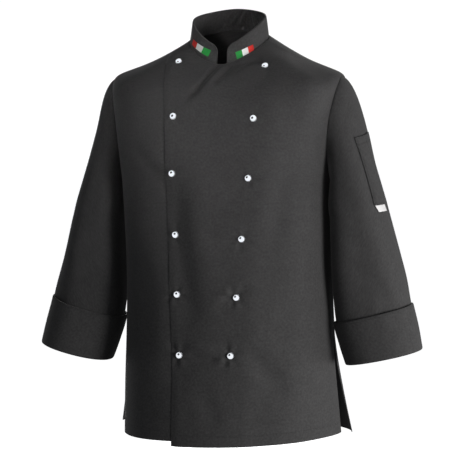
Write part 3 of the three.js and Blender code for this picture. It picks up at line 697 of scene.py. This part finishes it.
def sleeve_ring(along, turn):
    """Squared-off ellipse square to the arm, with a bump for the fold inside the elbow."""
    at = {column: curve(SLEEVE, "i", along, column) for column in SLEEVE if column != "i"}
    angle = np.radians(180 - turn)
    fold_share = ease(1 - np.abs(along - ELBOW_FOLD["ring"]) / ELBOW_FOLD["ends"])
    across = (turn - ELBOW_FOLD["turn"]) / ELBOW_FOLD["spread"]
    bump = ELBOW_FOLD["depth"] * fold_share * np.exp(-(across**2))
    r = ring(angle, at["side"], at["fore"], at["fore"], at["squareness"]) + bump
    tilt = np.radians(at["tilt"])
    sideways = r * np.cos(angle)
    x, z = at["x"] + sideways * np.cos(tilt), at["z"] + sideways * np.sin(tilt)
    return np.stack([x, at["y"] - r * np.sin(angle), z], -1)


def sleeve(along, turn):
    """Point of the left sleeve: along is 0 at the armhole, 1 at the first ring and then counts the rings.

    The head is a Hermite curve at each turn: it leaves the armhole outwards and lands on the first ring down
    the arm.
    """
    along, turn = np.broadcast_arrays(np.asarray(along, float), turn)
    start, end = armhole(turn), sleeve_ring(turn * 0, turn)
    top = (1 - np.cos(np.radians(turn))) / 2
    leave = unit(np.stack([0.3 + 0.62 * top, -0.25 * np.sin(np.radians(turn)), -0.95 + 0.55 * top], -1))
    tilt = math.radians(SLEEVE["tilt"][0])
    land = np.array([math.sin(tilt), 0, -math.cos(tilt)]) * np.linalg.norm(start - end, axis=-1, keepdims=True)
    start = start + leave * 0.5
    a = np.clip(along, 0, 1)[..., None]
    head = start * (2 * a**3 - 3 * a**2 + 1) + leave * (60 + 30 * top)[..., None] * (a**3 - 2 * a**2 + a)
    head = head + end * (3 * a**2 - 2 * a**3) + land * (a**3 - a**2)
    return np.where((along >= 1)[..., None], sleeve_ring(np.clip(along - 1, 0, None), turn), head)


def to_right(points, along):
    """Mirrors points of the left sleeve, letting its inner and outer sides out and down by RIGHT_SLEEVE."""
    loose = ease(along / 0.5)
    columns = ("inner", "outer", "drop")
    inner, outer, drop = (loose * curve(RIGHT_SLEEVE, "z", points[..., 2], column) for column in columns)
    share = ease((points[..., 0] - 200) / 90)
    x = -points[..., 0] + inner * (1 - share) + outer * share
    return np.stack([x, points[..., 1], points[..., 2] - drop], -1)


def sleeve_relief(side, along, turn, z):
    """Folds of a sleeve by its turn and z, with slow waves round it, faded at the head seam and the wrist."""
    round_mm = np.mod(turn, 360) * MM_A_DEGREE
    relief = sum(fold(round_mm, z, *row) for row in SLEEVE_FOLDS[side])
    phase = 0.7 if side == "left" else 2.6
    waves = 0.9 * np.sin(np.radians(2 * turn) + z / 75 + phase)
    waves = waves + 0.5 * np.sin(np.radians(5 * turn) - z / 48 + phase)
    return (relief + waves) * ease(along / 0.3) * (1 - ease((along - 5.2) / 0.8))


def sleeve_cloth(side, along, turn):
    """Outer face of a sleeve with its folds, and its outward directions."""
    along, turn = np.broadcast_arrays(np.asarray(along, float), turn)

    def plain(a, t):
        points = sleeve(a, np.mod(t, 360))
        return points if side == "left" else to_right(points, a)

    points = plain(along, turn)
    low, high = np.maximum(along - 0.01, 0), np.minimum(along + 0.01, SLEEVE_END)
    normal = unit(np.cross(plain(high, turn) - plain(low, turn), plain(along, turn + 1) - plain(along, turn - 1)))
    normal = normal if side == "left" else -normal
    return points + normal * sleeve_relief(side, along, turn, points[..., 2])[..., None], normal


def sleeve_piece(side):
    """One sleeve as a looped shell from its head seam, turned in by a lip, to its end inside the cuff."""
    alongs = np.r_[0, 0.003, 0.008, 0.016, np.linspace(0.03, 1, 88), np.linspace(1, SLEEVE_END, 92)[1:]][:, None]
    turns = np.linspace(0, 360, 121)[:-1][None, :]
    outer, normal = sleeve_cloth(side, alongs, turns)
    down = run_lengths(outer, 0)
    outer = outer + normal * rolled(down, 0.25)[..., None]
    facing = grid_normals(outer, True, normal)
    around = run_lengths(outer, 1, True)
    down = np.concatenate([down, down[:, :1]], 1)
    inner = outer - facing * CLOTH
    lip = np.exp(-((run_lengths(outer, 0) / 2.2) ** 2))[..., None]
    inner = inner - lip * (1.7 * facing + 4.2 * unit(np.gradient(outer, axis=0)))
    piece = shell(f"{side}_sleeve_cloth", outer, inner, True, {"cloth": (around, down)})
    piece.data.materials.append(charcoal_twill(f"twill_{side}_sleeve"))
    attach(piece, "root")
    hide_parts(f"sleeve_{side}")


for side in ("left", "right"):
    sleeve_piece(side)


# Cuffs
# The sleeve's end turned up once on the outside as a deep double band, pressed along its fold and standing a
# little off the sleeve at its upper edge, where its hem is stitched.
CUFFS = {"left": 80, "right": 89}
TURNED_CLOTH = 2.6
CUFF_FOLD = 3.0


def cuff_piece(side):
    """Band whose loops follow the sleeve's rings up from its fold, each moved out along their normals."""
    turns = np.linspace(0, 360, 145)[:-1]

    def rings(alongs):
        points = sleeve(alongs[:, None], turns[None, :])
        return points if side == "left" else to_right(points, alongs[:, None] + turns[None, :] * 0)

    table = np.linspace(4.2, SLEEVE_END, 400)
    centres = (rings(table)[:, 0] + rings(table)[:, 72]) / 2
    to_end = np.linalg.norm(centres - centres[-1], axis=1)
    axis = unit(centres[-1] - centres[np.argmin(np.abs(table - (SLEEVE_END - 2)))])
    up = CUFFS[side] * close_ends(34, CUFFS[side])[::-1] - CUFF_FOLD
    base = rings(np.interp(np.clip(up, 0, None), to_end[::-1], table[::-1]))
    base = base + axis * np.clip(-up, 0, None)[:, None, None]
    normal = grid_normals(base, True, base - base.mean(1, keepdims=True))
    share = ((CUFFS[side] - CUFF_FOLD - up) / CUFFS[side])[:, None]
    angle = np.radians(turns)[None, :]
    phase = 0.6 if side == "left" else 2.2
    wave = (1 - share) * (0.9 * np.sin(3 * angle + phase) + 0.5 * np.sin(7 * angle + 1.0))
    stand_off = 2.2 * (1 - share) + (SEAM_GAP + 0.4) * share + np.clip(wave, -0.2, None) + 0.2
    inner = base + normal * stand_off[..., None]
    plump = 0.5 * np.sin(np.pi * np.clip(share, 0, 1)) * (1 + 0.4 * np.sin(2 * angle + 0.5))
    edges = rolled((1 - share) * CUFFS[side]) + rolled(share * CUFFS[side])
    outer = inner + normal * (TURNED_CLOTH + plump + edges)[..., None]
    down = run_lengths(outer, 0)
    around = run_lengths(outer, 1, True)
    down = np.concatenate([down, down[:, :1]], 1)
    maps = {"cloth": (around, -down), "edge": (down - 3.5, around)}
    piece = shell(f"{side}_cuff_cloth", outer, inner, True, maps)
    piece.data.materials.append(charcoal_twill(f"twill_{side}_cuff", ("edge",)))
    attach(piece, "root")
    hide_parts(f"cuff_{side}")


for side in ("left", "right"):
    cuff_piece(side)


# Collar
# A stand collar: one band of doubled twill, stitched close along the neck seam, with rounded front ends that
# stand a finger apart. A small flag of three stripes is worked in satin stitch on each end, flat in the cloth.
COLLAR_CLOTH = 2.4
COLLAR_HEIGHT, COLLAR_FRONT_HEIGHT = 37.0, 34.5
COLLAR_CORNER = 13.0
COLLAR_ENDS = (-79.6, -97.5 + 360)
FLAG_RED, FLAG_WHITE, FLAG_GREEN = "#c4271f", "#e8e8e6", "#1f8c3a"
# Each flag: its start and end along the band from the wearer's left, and its lower and upper edge at both.
FLAGS = {"left": (19.5, 56.7, (2.9, 16.8), (1.1, 12.3)), "right": (368.0, 419.0, (7.8, 18.7), (9.6, 23.2))}
# Creases of the collar's inner face: place along the band, lean, depth and half width, in mm.
INNER_CREASES = [
    (140, 0.9, 5.0, 4), (158, 0.5, 3.0, 3.5), (176, 0.2, 3.4, 4), (196, -0.1, 3.0, 4), (214, -0.4, 4.6, 4),
    (236, -0.8, 5.0, 4), (256, -1.0, 3.4, 4.5), (100, 0.7, 2.4, 6), (66, 0.4, 1.2, 7), (300, -0.6, 2.2, 6),
]


def collar_face(t, up):
    """Outer face of the band: a neck ring that leans in as it rises, lower towards its rounded ends."""
    turned = turned_from_front(t)
    r = curve(NECK, "turn", turned, "radius") - 0.5
    from_end = np.minimum(t - COLLAR_ENDS[0], COLLAR_ENDS[1] - t)
    along = np.clip(np.radians(from_end) * r, 0, COLLAR_CORNER)
    rounded = COLLAR_CORNER - np.sqrt(COLLAR_CORNER**2 - (COLLAR_CORNER - along) ** 2)
    height = COLLAR_FRONT_HEIGHT + (COLLAR_HEIGHT - COLLAR_FRONT_HEIGHT) * ease(turned / 60) - rounded
    leaned = r - 5 * up * height / COLLAR_HEIGHT
    angle = np.radians(t)
    z = curve(NECK, "turn", turned, "z") + SEAM_GAP + height * up
    return np.stack([leaned * np.cos(angle), leaned * np.sin(angle), z], -1)


def collar_piece():
    """The band as a shell. Its inner face has the slack creases of a lining that has less way to go."""
    length = math.radians(COLLAR_ENDS[1] - COLLAR_ENDS[0]) * 69
    corners = np.r_[np.linspace(0.004, 0.045, 14), np.linspace(0.955, 0.996, 14)]
    columns = np.sort(np.r_[close_ends(250, length), corners])
    t = (COLLAR_ENDS[0] + (COLLAR_ENDS[1] - COLLAR_ENDS[0]) * columns)[None, :]
    up = close_ends(22, 36, (0.4, 0.9, 1.6))[:, None]
    outer = collar_face(t, up)
    angle = np.radians(t + up * 0)
    outward = np.stack([np.cos(angle), np.sin(angle), angle * 0], -1)
    around, down = run_lengths(outer, 1), run_lengths(outer, 0)
    far, top = around[:, -1:] - around, down[-1:] - down
    slack = 0.35 * np.sin(around / 19 + up * 1.2) * np.sin(np.pi * up)
    outer = outer + outward * (slack + rolled(down) + 0.6 * rolled(top))[..., None]
    crease = sum(
        depth * np.exp(-(((around - place - lean * down) / width) ** 2)) * np.sin(np.pi * up) ** 0.6
        for place, lean, depth, width in INNER_CREASES
    )
    inner = outer - outward * (COLLAR_CLOTH + crease - rolled(down) - rolled(top))[..., None]
    inner[..., 2] -= 3.0 * np.exp(-((down / 2.5) ** 2))
    return shell("collar_cloth", outer, inner, False, {"cloth": (around, down), "neck": (down - 4.5, around)})


def flags(tree, colour):
    """Three upright stripes in each flag's slanting frame, by distance along the collar and height up it."""
    apart = add(tree, "SeparateXYZ", (add(tree, "UVMap", uv_map="cloth"),))
    for side, (start, end, at_start, at_end) in FLAGS.items():
        from_start = add(tree, "Math", (apart.outputs["X"], start), operation="SUBTRACT")
        share = add(tree, "Math", (from_start, end - start), operation="DIVIDE")
        low, high = (add(tree, "Math", (share, at_end[k] - at_start[k], at_start[k]), operation="MULTIPLY_ADD")
                     for k in (0, 1))
        from_middle = add(tree, "Math", (share, 0.5), operation="SUBTRACT")
        from_middle = add(tree, "Math", (from_middle,), operation="ABSOLUTE")
        inside = add(tree, "Math", (apart.outputs["Y"], low), operation="GREATER_THAN")
        for place, limit in ((apart.outputs["Y"], high), (from_middle, 0.5)):
            within = add(tree, "Math", (place, limit), operation="LESS_THAN")
            inside = add(tree, "Math", (inside, within), operation="MULTIPLY")
        first, last = (FLAG_GREEN, FLAG_RED) if side == "left" else (FLAG_RED, FLAG_GREEN)
        stripes = linear(first)
        for place, shown in ((1 / 3, FLAG_WHITE), (2 / 3, last)):
            beyond = add(tree, "Math", (share, place), operation="GREATER_THAN")
            stripes = add(tree, "Mix", {0: beyond, 6: stripes, 7: linear(shown)}, data_type="RGBA").outputs[2]
        colour = add(tree, "Mix", {0: inside, 6: colour, 7: stripes}, data_type="RGBA").outputs[2]
    return colour


collar = collar_piece()
collar.data.materials.append(charcoal_twill("twill_collar", ("neck",), patches=flags))
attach(collar, "root")
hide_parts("collar")


# Pen pocket and tab
# A narrow patch pocket on the outside of the left sleeve, stitched round three sides with a line down it that
# parts off room for pens. Its open top edge is turned in. A plain white woven tab is caught in its foot. The
# pocket's corners are turns round the sleeve and heights, at its top and its foot.
POCKET = {"front": (129, 120), "back": (190, 190), "front_z": (-173, -290), "back_z": (-163, -289)}
POCKET_WIDTH, POCKET_LENGTH, POCKET_CLOTH, POCKET_LIFT = 62, 118, 1.2, 1.2
TAB_WIDTH, TAB_LENGTH, TAB_CLOTH, TAB_RIB_MM = 32, 13, 0.8, 0.6


def on_sleeve(turn, z, distance):
    """Points a distance off the left sleeve's cloth at a turn and z, found by halving the way along it."""
    low, high = np.full(turn.shape, 0.05), np.full(turn.shape, 2.0)
    for _ in range(40):
        middle = (low + high) / 2
        above = sleeve(middle, turn)[..., 2] > z
        low, high = np.where(above, middle, low), np.where(above, high, middle)
    points, normal = sleeve_cloth("left", low, turn)
    return points + normal * distance[..., None]


down = close_ends(44, POCKET_LENGTH)[:, None]
aside = close_ends(26, POCKET_WIDTH)[None, :]
front, behind = (POCKET[k][0] * (1 - down) + POCKET[k][1] * down for k in ("front", "back"))
front_z, behind_z = (POCKET[k][0] * (1 - down) + POCKET[k][1] * down for k in ("front_z", "back_z"))
turn, z = front * (1 - aside) + behind * aside, front_z * (1 - aside) + behind_z * aside
across_mm, down_mm = aside * POCKET_WIDTH + down * 0, down * POCKET_LENGTH + aside * 0
far_mm, foot_mm = POCKET_WIDTH - across_mm, POCKET_LENGTH - down_mm
edge_mm = np.minimum(np.minimum(across_mm, far_mm), np.minimum(down_mm + 3, foot_mm))
puff = 1.1 * ease(edge_mm / 12)
face = on_sleeve(turn, z, POCKET_LIFT + POCKET_CLOTH + puff + rolled(edge_mm))
under = on_sleeve(turn, z, POCKET_LIFT + puff)
pocket = shell("pen_pocket_cloth", face, under, False, {
    "cloth": (across_mm, -down_mm),
    "front_seam": (across_mm - 2.5, down_mm), "back_seam": (far_mm - 2.5, down_mm),
    "foot_seam": (foot_mm - 2.5, across_mm), "opening": (down_mm - 12, across_mm),
    "division": (across_mm - 26, down_mm),
})
pocket_lines = ("front_seam", "back_seam", "foot_seam", "opening", "division")
# Deeper painted shade in the ditches of the pocket's stitching.
pocket.data.materials.append(charcoal_twill("twill_pen_pocket", pocket_lines, ditch_painted_shade=0.42))
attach(pocket, "root")
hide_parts("pen_pocket")

down = close_ends(8, TAB_LENGTH, (0.3, 0.7))[:, None]
aside = close_ends(26, TAB_WIDTH, (0.3, 0.7))[None, :]
turn, z = 121.5 + 29 * aside + 5 * down, -290.5 - 11.5 * down + aside * 0
curl = 0.5 * np.sin(np.pi * aside) * down
face = on_sleeve(turn, z, POCKET_LIFT + TAB_CLOTH + curl)
tab = shell("woven_tab", face, on_sleeve(turn, z, POCKET_LIFT + curl), False,
            {"cloth": (aside * TAB_WIDTH + down * 0, down * TAB_LENGTH + aside * 0)})

# Woven polyester damask: plain white, smooth and a little glossy, with fine slanting ribs 0.6 mm apart.
damask, tree = new_material("white_damask_tab")
slant = (0.6, 2 * math.pi / TAB_RIB_MM, 0)
dot = add(tree, "VectorMath", (add(tree, "UVMap", uv_map="cloth"), slant), operation="DOT_PRODUCT")
rib = add(tree, "Math", (dot.outputs["Value"],), operation="SINE")
share = add(tree, "Math", (rib, 0.12, 0.2), operation="MULTIPLY_ADD")
shade = add(tree, "Mix", {0: share, 6: linear("#ebe9e8"), 7: linear("#b9b6b6")}, data_type="RGBA").outputs[2]
woven = add(tree, "BsdfPrincipled", {
    "Base Color": shade, "Roughness": 0.45, "IOR": 1.5, "Sheen Weight": 0.1,
    "Normal": add(tree, "Bump", {"Height": rib, "Strength": 0.3, "Distance": 0.0002})})
add(tree, "OutputMaterial", (woven,))
tab.data.materials.append(damask)
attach(tab, "root")
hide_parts("label_tab")


# Studs
# Twelve domed studs of chromed brass, each pushed through a buttonhole from behind: a narrow neck, a rolled
# rim and a polished head.
STUD_RADIUS, STUD_HEIGHT, STUD_RIM = 6.2, 5.2, 0.45


def stud_profile():
    """Radius and height of a stud from its neck, round its rolled rim and up its quarter-ellipse head."""
    rim = np.linspace(-0.5, 0.5, 7) * np.pi
    head = np.linspace(0.04, 0.5, 16) * np.pi
    radius = np.r_[0, 4.6, 4.7, STUD_RADIUS - STUD_RIM * (1 - np.cos(rim)), 6.05 * np.cos(head)]
    height = np.r_[-0.2, -0.2, 0.4, 0.85 + STUD_RIM * np.sin(rim), 1.3 + (STUD_HEIGHT - 1.3) * np.sin(head)]
    radius[-1] = 0
    return radius, height


# Bright nickel and chrome plate on turned brass, polished: a near mirror with a faint cool tint.
chrome, tree = new_material("polished_chrome_plate")
plated = add(tree, "BsdfPrincipled", {"Base Color": linear("#e9ebee"), "Metallic": 1.0, "Roughness": 0.0})
add(tree, "OutputMaterial", (plated,))


def place_on_front(x, z):
    """Angle and height on the fronts at an x and z: z settles the height and x the angle, in turn."""
    t, height = -90.0, 0.0
    for _ in range(40):
        low, high = -1.0, 1.0
        for _ in range(30):
            height = (low + high) / 2
            low, high = (height, high) if torso(t, height)[2] < z else (low, height)
        t = math.degrees(math.atan2(torso(t, height)[1], x))
    return np.array(t), np.array(height)


radius, rise = stud_profile()
segments = 56
around = np.arange(segments) * 2 * np.pi / segments
for row, pair in enumerate(STUDS, 1):
    for side, (x, z) in zip(("right", "left"), pair):
        t, height = place_on_front(x, z)
        out = torso_normal(t, height)
        ramp = LIFT * (1 - ease((t - front_edge(np.array([float(height)]), 1)[0] - RAMP_START) / RAMP_WIDTH))
        sunk = front_relief(torso(t, height)[None])[0]
        foot = torso(t, height) + out * (ramp + sunk + 0.5)
        level = unit(np.cross([0, 0, 1.0], out))
        upright = np.cross(out, level)
        spokes = np.cos(around)[:, None] * level + np.sin(around)[:, None] * upright
        rings = foot + radius[1:-1, None, None] * spokes + (rise[1:-1, None] * out)[:, None]
        points = np.concatenate([[foot + rise[0] * out], rings.reshape(-1, 3), [foot + rise[-1] * out]]) / 1000
        ring_count, k = len(radius) - 2, np.arange(segments)
        following = (k + 1) % segments
        faces = np.stack([k * 0, 1 + following, 1 + k], -1).tolist()
        for i in range(ring_count - 1):
            a = 1 + i * segments
            faces += np.stack([a + k, a + following, a + segments + following, a + segments + k], -1).tolist()
        a = 1 + (ring_count - 1) * segments
        faces += np.stack([a + k, a + following, k * 0 + a + segments], -1).tolist()
        name = f"chrome_stud_{side}_{row}"
        mesh = bpy.data.meshes.new(name)
        mesh.from_pydata(points.tolist(), [], faces)
        mesh.polygons.foreach_set("use_smooth", np.ones(len(faces), bool))
        mesh.materials.append(chrome)
        stud = bpy.data.objects.new(name, mesh)
        bpy.context.scene.collection.objects.link(stud)
        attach(stud, "root")
        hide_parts(f"stud_{side}_{row}")
        polished.objects.link(stud)
for entry in polished.collection_objects:
    entry.light_linking.link_state = "EXCLUDE"
